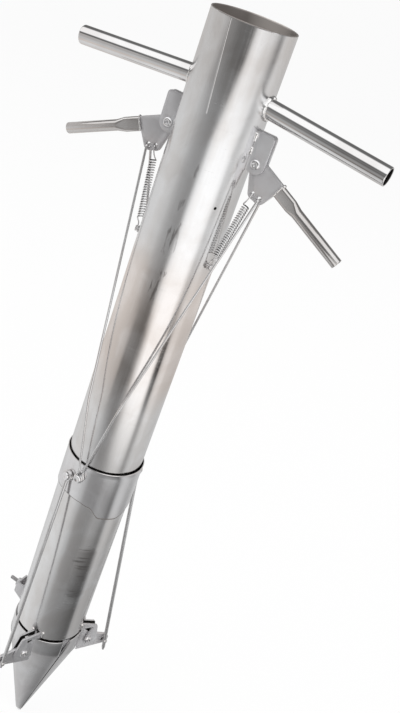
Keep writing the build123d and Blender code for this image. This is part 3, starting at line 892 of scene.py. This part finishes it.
def wire_points(node):
    """One wire from the rear loop up over the lever's hole and down to the front loop."""
    low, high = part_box(node)
    crown = Vector((max(high.x, -low.x) - WIRE_R, 0, high.z - WIRE_R))
    foot = UP * STUD_LEVEL
    length = (crown - foot).length
    run = (crown - foot).normalized()
    cross = Vector((0, 1, 0)).cross(run)
    eye = high.y - WIRE_R

    def at(y, up, aside=0.0):
        return foot + Vector((0, y, 0)) + run * up + cross * aside

    def loop(y):
        ends = [at(y, LOOP_NECK), at(y, *LOOP_SHOULDER)]
        for angle in LOOP_DEGREES:
            a = radians(angle)
            ends.append(at(y, LOOP_R * sin(a), LOOP_R * cos(a)))
        return ends

    def leg(y):
        corners = [at(y, LOOP_NECK), at(y, WIRE_KNEE), at(copysign(WIRE_CROWN, y), length)]
        return rounded(corners, KNEE_R, steps=16)[1:-1]

    corners = [leg(-eye)[-1], at(-WIRE_CROWN, length), at(WIRE_CROWN, length), leg(eye)[-1]]
    over = rounded(corners, CROWN_R, steps=8)[1:-1]
    return list(reversed(loop(-eye))) + leg(-eye) + over + list(reversed(leg(eye))) + loop(eye)


def build_wire(side, sign):
    path = mirrored(wire_points("pull_wire_" + side), sign)
    mesh = sweep("wire", path, WIRE_R, sides=14)
    node = "pull_wire_" + side
    piece("bent_wire_" + side, mesh, wire_steel, "wire_" + side, node, slot="wire_steel", sharp=80.0)


# Push rods: a forged eye on the collar, a straight run, and a pin welded across for the jaw's arm; their
# reach, top, out, drop and ahead are in millimetres in the jaws' frame
ROD_R = 1.8 * MM
ROD_STEPS = 60
ROD_WAVER = 0.04
ROD_WAVES = 0.9
ROD_TIP = 0.55
ROD_TIP_STEPS = 0.6
ROD_AZIMUTH = radians(-9.0)
ROD_REACH = 38.9
ROD_TOP = 338.0
ROD_START = 4.4 * MM
ROD_EYE_IN = 2.6 * MM
ROD_EYE_OUT = 5.6 * MM
ROD_EYE_BEVEL = 0.7 * MM
ROD_EYE_ROUND = (0.2 * ROD_EYE_BEVEL, 0.4 * ROD_EYE_BEVEL)
ROD_OUT = 22.25
ROD_DROP = 6.4
ROD_AHEAD = 4.8
ROD_TAILS = {"right": 12.0 * MM, "left": 5.0 * MM}
PIN_LENGTH = 6.9 * MM
PIN_HEAD_R = 3.7 * MM
PIN_HEAD = 1.4 * MM
PIN_WELD = ((0, -2.6), (1.5, -2.4), (2.5, -1.4), (2.7, 0.2), (2.1, 1.5))
PIN_WELD_TOP = 2.2 * MM
PIN_DOME = ((0.5, 0.0), (0.0, 0.4), (0.3, 1.1))
PIN_FLAT = 1.4 * MM
JAW_PIVOT_MM = (JAW_PIVOT.dot(JAW_RIGHT) / MM, -JAW_PIVOT.dot(JAW_FRONT) / MM, JAW_PIVOT.z / MM)


def rod_top(sign):
    """The place of a rod's eye on the collar, and the direction in which its stud points."""
    top = in_jaws(ROD_REACH * cos(ROD_AZIMUTH), ROD_REACH * sin(ROD_AZIMUTH), ROD_TOP, sign)
    return top, Vector((top.x, top.y, 0)).normalized()


def build_rod(side, sign):
    bevel, half = ROD_EYE_BEVEL, ROD_R
    nose, flat = ROD_EYE_OUT - ROD_EYE_ROUND[0], half - ROD_EYE_ROUND[1]
    lower = [
        (ROD_EYE_IN + bevel, -half), (ROD_EYE_OUT - bevel, -half), (nose, -flat), (ROD_EYE_OUT, bevel - half),
    ]
    eye_profile = lower + [(r, -h) for r, h in reversed(lower)]
    eye_profile += [(ROD_EYE_IN, half - bevel), (ROD_EYE_IN, bevel - half)]
    pin_profile = [(out * MM, up * MM) for out, up in PIN_WELD] + [(ROD_R, PIN_WELD_TOP), (ROD_R, PIN_LENGTH)]
    pin_profile += [(PIN_HEAD_R - back * MM, PIN_LENGTH + up * MM) for back, up in PIN_DOME]
    pin_profile += [(PIN_HEAD_R - PIN_FLAT, PIN_LENGTH + PIN_HEAD), (0, PIN_LENGTH + PIN_HEAD)]
    pivot_x, pivot_y, pivot_z = JAW_PIVOT_MM
    top, out = rod_top(sign)
    joint = in_jaws(pivot_x + ROD_OUT, pivot_y - ROD_AHEAD, pivot_z - ROD_DROP, sign)
    heading = (joint - top).normalized()
    start = top + heading * ROD_START
    end = joint + heading * ROD_TAILS[side]
    path = [start.lerp(end, i / ROD_STEPS) for i in range(ROD_STEPS + 1)]

    def shape(i):
        tip = min(1.0, ROD_TIP + (1 - ROD_TIP) * (ROD_STEPS - i) / ROD_TIP_STEPS)
        return tip * (1 + ROD_WAVER * noise.noise(Vector((i * ROD_WAVES, sign, 0))))

    shaft = sweep("shaft", path, ROD_R, sides=16, swell=shape)
    eye = lathe("eye", eye_profile, along(top, out), segments=36)
    pin = knob("pin", pin_profile, along(joint, -JAW_FRONT), segments=28)
    mesh = joined("rod", shaft, eye, pin)
    piece("rod_" + side, mesh, wire_steel, "collar", "push_rod_" + side, slot="wire_steel", sharp=50.0)


# Rivets with a dimpled head at each end, its profile in shares of its radius and height, and headed studs
DIMPLED_HEAD = (
    (0.0, -0.35), (0.30, -0.30), (0.36, 0.80), (0.48, 1.0), (0.64, 1.0), (0.84, 0.76), (0.97, 0.36),
    (1.0, 0.0),
)
RIVET_HEAD_R = 4.2 * MM
RIVET_HEAD = 1.7 * MM
RIVET_R = 2.4 * MM
STUD_DOME = ((1.0, 0.35), (0.86, 0.85), (0.5, 1.0), (0.3, 0.72), (0.0, 0.68))
STUD_HEAD_R = 4.0 * MM
STUD_HEAD = 1.4 * MM
STUD_LIP = 0.5 * MM
STUD_SUNK = 0.6 * MM
SPRING_STUD_SUNK = 0.8 * MM


def fastener(name, mesh, body, node):
    piece(name, mesh, fastener_steel, body, node, slot="fastener_steel")


def rivet(place, half):
    """A rivet through a place, with its heads at half its length to each side."""
    upper = [(share * RIVET_HEAD_R, half + rise * RIVET_HEAD) for share, rise in DIMPLED_HEAD]
    lower = [(r, -h) for r, h in upper]
    profile = lower + [(RIVET_R, -half), (RIVET_R, half)] + list(reversed(upper))
    return knob("rivet", profile, place, segments=36)


def stud_pair(name, node, body, stands, shaft, length, head_r=STUD_HEAD_R, head=STUD_HEAD):
    """Two headed studs, each on a root and pointing its own way."""
    profile = [(0, 0), (shaft, 0), (shaft, length), (head_r - STUD_LIP, length)]
    profile += [(share * head_r, length + rise * head) for share, rise in STUD_DOME]
    meshes = [knob("stud", profile, along(root, out), segments=32) for root, out in stands]
    fastener(name, joined("studs", *meshes), body, node)


def build_fasteners():
    for side, sign in SIDES:
        centre = Vector((sign * LEVER_PIVOT.x, 0, LEVER_PIVOT.z))
        mesh = rivet(along(centre, (0, -1, 0)), half=3.9 * MM)
        fastener("pivot_rivet_" + side, mesh, "frame", "lever_rivet_" + side)
    places = [along(in_jaws(*JAW_PIVOT_MM, sign), JAW_FRONT) for side, sign in SIDES]
    meshes = [rivet(place, half=4.0 * MM) for place in places]
    fastener("jaw_pivot_rivets", joined("rivets", *meshes), "frame", "jaw_rivets")

    collar_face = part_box("lift_collar")[1].x - STUD_SUNK
    wire_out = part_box("wire_studs")[1].y
    wires, rods, springs = [], [], []
    for side, sign in SIDES:
        out = Vector((0, sign, 0))
        wires.append((out * collar_face + UP * STUD_LEVEL, out))
        top, out = rod_top(sign)
        rods.append((out * collar_face + UP * top.z, out))
        out = Vector((sign * SPRING_EYE.x, SPRING_EYE.y, 0)).normalized()
        springs.append((out * (TUBE_R - SPRING_STUD_SUNK) + UP * SPRING_EYE.z, out))
    length = wire_out - STUD_HEAD - wires[0][0].xy.length
    stud_pair("wire_stud_pair", "wire_studs", "collar", wires, shaft=2.5 * MM, length=length)
    stud_pair("rod_stud_pair", "rod_studs", "collar", rods, shaft=2.4 * MM, length=5.2 * MM)
    stud_pair(
        "spring_stud_pair", "spring_studs", "frame", springs, shaft=1.9 * MM, length=4.2 * MM,
        head_r=2.8 * MM, head=1.2 * MM,
    )


# The depth stop's clamp screw, threaded, with a slot for a driver
BOX_FACES = ((0, 1, 3, 2), (4, 6, 7, 5), (0, 4, 5, 1), (2, 3, 7, 6), (0, 2, 6, 4), (1, 5, 7, 3))


def build_screw():
    rows, sides = 130, 28
    pitch, depth, runout, point = 0.9 * MM, 0.32 * MM, 0.9 * MM, 0.78
    slot_half, slot_depth = 0.45 * MM, 2.0 * MM
    low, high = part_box("stop_screw")
    radius = (high.y - low.y) / 2
    level = (low.z + high.z) / 2
    length = high.x - low.x
    points = []
    for i in range(rows):
        share = i / (rows - 1)
        ends = min(1.0, min(share, 1 - share) * length / runout)
        for j in range(sides):
            turn = tau * j / sides
            phase = (share * length / pitch + j / sides) % 1.0
            thread = abs(2 * phase - 1)
            r = (radius - depth * (1 - thread)) * (point + (1 - point) * ends)
            points.append(Vector((high.x - share * length, r * cos(turn), level + r * sin(turn))))
    mesh = outward(new_mesh("screw", points, capped_faces(rows, sides)))
    wide = 2 * radius
    corners = [
        (low.x + dx, y, level + dz)
        for dx in (-slot_depth, slot_depth) for y in (-wide, wide) for dz in (-slot_half, slot_half)
    ]
    mesh = carve(mesh, outward(new_mesh("slot", corners, BOX_FACES)))
    piece("clamp_screw", mesh, thread_steel, "screw", "stop_screw", slot="fastener_steel", sharp=30.0)


# Weld beads where the sheet pieces meet the tube, and where each grip meets its plate
def weld_tube(name, sign, y, start, end, radius, seed):
    """An upright bead on the feed tube's face, from one height to another."""
    x = sign * on_tube(y)
    bead(name, [Vector((x, y, start)), Vector((x, y, end))], radius, "frame", seed)


def weld_bracket(side, sign):
    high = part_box("lever_bracket_right")[1]
    clear = 0.3 * MM
    runs = ((1.0 * MM, 9.5 * MM), (13.0 * MM, 20.0 * MM))
    for front in (-1, 1):
        y = front * (high.y + clear)
        for part, (top, foot) in enumerate(runs):
            name = "bracket_weld_%s_%d_%d" % (side, front + 1, part)
            seed = 11.0 + 3 * sign + front + part
            weld_tube(name, sign, y, high.z - top, high.z - foot, radius=1.5 * MM, seed=seed)


def weld_fork(side, sign):
    """Beads on a fork's outer faces, in millimetres in the jaws' frame."""
    clear, start, length = 0.3, 1.6, 8.0
    low = TUBE_FOOT / MM + start
    for part, y in enumerate((FORK_FRONT - clear, FORK_REAR + clear)):
        x = sqrt((TUBE_R / MM) ** 2 - y ** 2)
        path = [in_jaws(x, y, low, sign), in_jaws(x, y, low + length, sign)]
        name = "fork_weld_%s_%d" % (side, part)
        bead(name, path, radius=1.35 * MM, body="frame", seed=21.0 + sign + part)


def weld_grip(side, sign):
    """Two beads up the flattened root of a grip, and a tack across its top."""
    droop = radians(25.7)
    start, thick = 27.5 * MM, 5.4 * MM
    tack_ahead, tack_rise, tack_half = 0.5 * MM, 6.2 * MM, 1.6 * MM
    ahead = Vector((sign * cos(droop), 0, -sin(droop)))
    rise = Vector((sign * sin(droop), 0, cos(droop)))
    half = rise * 5.6 * MM
    pivot = Vector((sign * LEVER_PIVOT.x, 0, LEVER_PIVOT.z))
    lever = "lever_" + side
    for front in (-1, 1):
        root = pivot + ahead * start + Vector((0, front * thick / 2, 0))
        name = "grip_weld_%s_%d" % (side, front + 1)
        bead(name, [root + half, root - half], radius=0.8 * MM, body=lever, seed=41.0 + sign + front)
    crest = pivot + ahead * (start + tack_ahead) + rise * tack_rise
    across = Vector((0, tack_half, 0))
    path = [crest - across, crest + across]
    bead("grip_tack_" + side, path, radius=1.0 * MM, body=lever, seed=47.0 + sign)


def weld_socket():
    low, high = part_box("stop_socket")
    clear, foot, top = 0.2 * MM, 2.0 * MM, 1.0 * MM
    for front in (-1, 1):
        y = front * (high.y + clear)
        name = "socket_weld_%d" % (front + 1)
        weld_tube(name, -1, y, low.z + foot, high.z - top, radius=1.2 * MM, seed=31.0 + front)


def both(build):
    for side, sign in SIDES:
        build(side, sign)


build_tube()
build_ridge()
both(build_handle)
build_collar()
build_sheets()
both(build_cone)
both(build_spring)
both(build_wire)
both(build_rod)
build_fasteners()
build_screw()
for side, sign in SIDES:
    weld_bracket(side, sign)
    weld_fork(side, sign)
    weld_grip(side, sign)
weld_socket()


# Light: a tent of cards that only the metal's reflections see. Its stops are (degrees, percent of light), the
# degrees round the object from the camera's side, and a colour of 1 in a ramp stands for RAMP_TOP
RAMP_TOP = 2.0
TINT_LIMIT = 0.75
GREEN_SHARE = 0.6
TENT_SIDES = 96
TENT_RADIUS = 0.55
TENT_HEIGHT = 0.77
TIP_HOLE = 0.005
TIP_RING = 0.10
DISH_LOW = 0.4 * MM
DISH_RISE = 0.02
SKIRT_INNER = 0.25
SKIRT_OUTER = 0.38
FOOT_INNER = 0.46
FOOT_HIGH = 0.11
CREST_BAND = (0.54, 0.66)
CREST_LEAN = 20.0
CREST_TINT = 0.04
WARM_BAND = (0.385, 0.335)
WARM_TINT = 0.13
STREAK_BAND = (0.30, 0.235)
LOW_BAND = (0.17, 0.11)
WALL_LEFT = (
    (-180, 62), (-140, 70), (-96, 74), (-80, 69), (-64, 60), (-50, 45), (-40, 38), (-25, 32), (-13, 33),
    (-5, 95), (6, 120), (46, 120),
)
WARM_LEFT = (
    (-180, 62), (-140, 80), (-96, 85), (-78, 75), (-68, 68), (-59, 58), (-50, 42), (-33, 29), (-24, 21),
    (-13, 22), (-5, 95), (6, 120), (46, 120),
)
STREAK_LEFT = (
    (-180, 62), (-140, 74), (-96, 74), (-80, 70), (-64, 63), (-54, 56), (-48, 47), (-42, 20), (-30, 16.5),
    (-13, 15), (-8, 21), (-2, 46), (3, 85), (8, 120), (46, 120),
)
LOW_LEFT = (
    (-180, 62), (-140, 74), (-96, 78), (-66, 72), (-53, 62), (-42, 48), (-34, 37), (-24, 29), (-12, 29),
    (0, 46), (7, 70), (14, 98), (22, 115), (46, 120),
)
WALL_RIGHT = ((72, 72), (79, 86), (88, 84), (99, 71), (115, 64), (150, 58), (180, 62))
WARM_RIGHT = ((76, 86), (88, 86), (99, 78), (133, 78), (160, 62), (180, 62))
WALL_LIGHT = WALL_LEFT + ((55, 95), (60, 66), (68, 66)) + WALL_RIGHT
WARM_LIGHT = WARM_LEFT + ((53, 95), (58, 60), (66, 64)) + WARM_RIGHT
STREAK_LIGHT = STREAK_LEFT + ((51, 100), (55, 25), (57, 2), (66, 2), (68, 35)) + WALL_RIGHT
LOW_LIGHT = LOW_LEFT + ((55, 95), (60, 48), (68, 48)) + WALL_RIGHT
CREST_LIGHT = (
    (-180, 60), (-140, 61), (-96, 58), (-82, 47), (-72, 28), (-60, 24), (-50, 17.5), (-32, 15), (-17, 13),
    (-12, 22), (-6, 85), (6, 100), (20, 86), (42, 72), (52, 50), (58, 30), (66, 36), (74, 70), (96, 70),
    (115, 62), (150, 58), (180, 62),
)
GROUND_LIGHT = (
    (-180, 60), (-140, 70), (-96, 80), (-48, 72), (-30, 52), (-16, 36), (0, 30), (20, 24), (45, 16.5),
    (60, 12.5), (69, 11), (75, 42), (86, 49), (100, 45), (113, 41), (140, 50), (180, 60),
)
SKIRT_LIGHT = (
    (-180, 60), (-140, 70), (-96, 80), (-58, 74), (-43, 68), (-30, 54), (-19, 36), (-6, 31), (14, 28),
    (24, 37), (33, 39), (44, 35), (54, 27), (64, 20), (69, 34), (75, 56), (84, 65), (95, 60), (108, 45),
    (122, 42), (140, 60), (180, 60),
)
FOOT_LIGHT = (
    (-180, 60), (-140, 70), (-96, 78), (-58, 70), (-43, 58), (-30, 38), (-19, 30), (-6, 32), (6, 40),
    (17, 55), (28, 70), (39, 78), (51, 68), (58, 46), (64, 38), (75, 58), (88, 66), (103, 68), (120, 65),
    (150, 58), (180, 60),
)
TIP_LIGHT = (
    (-180, 25), (-158, 22), (-138, 60), (-110, 66), (-64, 62), (-32, 58), (0, 46), (32, 34), (50, 27),
    (66, 24), (80, 42), (110, 50), (180, 60),
)


def emission(name, stops, *shifts):
    """A soft light whose strength changes round the object.

    In each shift, other stops take over from one height to another, tinted warmer, and the pattern leans.
    """
    material = bpy.data.materials.new(name)
    tree = Shading(material)
    tree.nodes.clear()
    place = tree.add("SeparateXYZ", {"Vector": tree.add("TexCoord", {})["Object"]})
    position = tree.spread(tree.math("ARCTAN2", place["Y"], place["X"]), 0.0, 1.0, -pi, pi)
    rises = []
    for others, low, high, lean, tint in shifts:
        rise = tree.spread(place["Z"], 0.0, 1.0, low, high)
        position = tree.math("MULTIPLY_ADD", rise, -lean / 360, position)
        rises.append((rise, others, tint))

    def colours(stops, tint):
        marks = []
        for angle, percent in stops:
            level = percent / 100 / RAMP_TOP
            cast = tint * min(1.0, TINT_LIMIT / (percent / 100))
            colour = (level, level * (1 - GREEN_SHARE * cast), level * (1 - cast))
            marks.append(((angle + 180) / 360, colour))
        return tree.ramp(position, marks)

    shown = colours(stops, 0.0)
    for rise, others, tint in rises:
        shown = tree.mix(rise, shown, colours(others, tint))
    light = tree.add("Emission", {"Color": shown, "Strength": RAMP_TOP})["Emission"]
    tree.add("OutputMaterial", {"Surface": light})
    return material


def reflector(name, rings, material):
    """A card between two rings of points."""
    mesh = new_mesh(name, rings, ring_faces(2, TENT_SIDES))
    card = add_object(name, mesh)
    mesh.materials.append(material)
    card.rotation_euler.z = VIEW_AZIMUTH
    for ray in ("camera", "diffuse", "shadow", "transmission"):
        setattr(card, "visible_" + ray, False)


def dish(radius):
    """The height of the ground card, which rises a little towards the tent's wall."""
    return DISH_LOW + DISH_RISE * max(0.0, radius - TIP_RING) / (TENT_RADIUS - TIP_RING)


def dish_ring(radius):
    return ring(TENT_SIDES, radius, dish(radius))


def build_tent():
    edge = dish(TENT_RADIUS)
    crest = (CREST_LIGHT, *CREST_BAND, CREST_LEAN, CREST_TINT)
    warm = (WARM_LIGHT, *WARM_BAND, 0.0, WARM_TINT)
    streak = (STREAK_LIGHT, *STREAK_BAND, 0.0, WARM_TINT)
    low = (LOW_LIGHT, *LOW_BAND, 0.0, 0.0)
    foot = (FOOT_LIGHT, FOOT_HIGH, edge, 0.0, 0.0)
    skirt = (SKIRT_LIGHT, dish(SKIRT_INNER), dish(SKIRT_OUTER), 0.0, 0.0)
    rim = (FOOT_LIGHT, dish(FOOT_INNER), edge, 0.0, 0.0)
    wall_rings = ring(TENT_SIDES, TENT_RADIUS, 0.0) + ring(TENT_SIDES, TENT_RADIUS, TENT_HEIGHT)
    reflector("tent_wall", wall_rings, emission("tent_wall", WALL_LIGHT, crest, warm, streak, low, foot))
    ground_rings = dish_ring(TIP_RING) + dish_ring(TENT_RADIUS)
    reflector("tent_ground", ground_rings, emission("tent_ground", GROUND_LIGHT, skirt, rim))
    reflector("tent_tip", dish_ring(TIP_HOLE) + dish_ring(TIP_RING), emission("tent_tip", TIP_LIGHT))


# The floor and the world, both white to the camera; the world's arch of light goes over from front to back
WHITE = (1, 1, 1, 1)
FLOOR_HALF = 40.0
FLOOR_GLOW = 0.90
FLOOR_CORNERS = ((-1, -1), (1, -1), (1, 1), (-1, 1))
SKY_LIGHT = (
    (0, 28), (8, 24), (16, 16), (24, 15), (29, 50), (34, 115), (94, 115), (102, 50), (110, 16), (150, 16),
    (180, 40),
)


def build_floor():
    corners = [(x * FLOOR_HALF, y * FLOOR_HALF, 0) for x, y in FLOOR_CORNERS]
    mesh = new_mesh("floor", corners, [(0, 1, 2, 3)])
    floor = add_object("floor", mesh)
    material = bpy.data.materials.new("floor_white")
    tree = Shading(material)
    matte = tree.nodes["Principled BSDF"]
    tree.fill(matte, {"Base Color": (0.93, 0.93, 0.93, 1), "Roughness": 0.9})
    glow = tree.add("Emission", {"Color": WHITE})["Emission"]
    path = tree.add("LightPath", {})
    seen = tree.math("MAXIMUM", path["Is Camera Ray"], path["Is Glossy Ray"])
    share = tree.math("MULTIPLY", seen, FLOOR_GLOW)
    shown = tree.add("MixShader", {"Fac": share, 1: matte.outputs["BSDF"], 2: glow})["Shader"]
    tree.fill(tree.nodes["Material Output"], {"Surface": shown})
    mesh.materials.append(material)


def build_world():
    world = bpy.data.worlds.new("studio")
    bpy.context.scene.world = world
    tree = Shading(world)
    place = tree.add("SeparateXYZ", {"Vector": tree.add("TexCoord", {})["Generated"]})
    turn = tree.math("ARCTAN2", place["Z"], tree.math("MULTIPLY", place["Y"], -1.0))
    marks = [(angle / 180, [percent / 100 / RAMP_TOP] * 3) for angle, percent in SKY_LIGHT]
    sky = tree.ramp(tree.spread(turn, 0.0, 1.0, 0.0, pi), marks)
    level = tree.add("VectorMath", {0: sky, "Scale": RAMP_TOP}, operation="SCALE")["Vector"]
    path = tree.add("LightPath", {})
    shown = tree.mix(path["Is Camera Ray"], level, WHITE)
    tree.fill(tree.nodes["Background"], {"Color": shown, "Strength": 1.0})


# Lamps, as name, place, size and power, and the camera
LAMPS = (
    ("key", (-0.9, -1.1, 2.0), 1.6, 16.0),
    ("fill", (1.4, -0.6, 1.6), 1.4, 9.0),
    ("back", (0.2, 1.6, 1.9), 1.6, 9.0),
)
LAMP_AIM = Vector((0, 0, 0.35))


def build_lamps():
    for name, place, size, power in LAMPS:
        light = bpy.data.lights.new(name, "AREA")
        light.energy = power
        light.size = size
        lamp = add_object(name, light)
        lamp.location = place
        lamp.rotation_euler = (LAMP_AIM - lamp.location).to_track_quat("-Z", "Y").to_euler()
        lamp.visible_glossy = False


def build_camera():
    """The photograph's camera, fitted to the tube, handles, levers and jaws."""
    turn = Matrix.Rotation(VIEW_TURN, 3, "Z")
    pitch, yaw, roll = 0.4573, 0.0675, -0.3611
    ahead = Vector((sin(yaw) * cos(pitch), cos(yaw) * cos(pitch), -sin(pitch)))
    level = Vector((cos(yaw), -sin(yaw), 0))
    below = ahead.cross(level)
    right = level * cos(roll) + below * sin(roll)
    down = below * cos(roll) - level * sin(roll)
    axes = turn @ Matrix((right, -down, -ahead)).transposed()
    data = bpy.data.cameras.new("camera")
    data.sensor_fit = "VERTICAL"
    data.sensor_height = 36.0
    data.lens = 47.71
    data.clip_start = 0.01
    camera = add_object("camera", data)
    place = turn @ Vector((0, -749.7 * MM, 853.6 * MM))
    camera.matrix_world = Matrix.Translation(place) @ axes.to_4x4()
    bpy.context.scene.camera = camera


build_tent()
build_floor()
build_world()
build_lamps()
build_camera()
bpy.context.scene.view_settings.view_transform = "Standard"
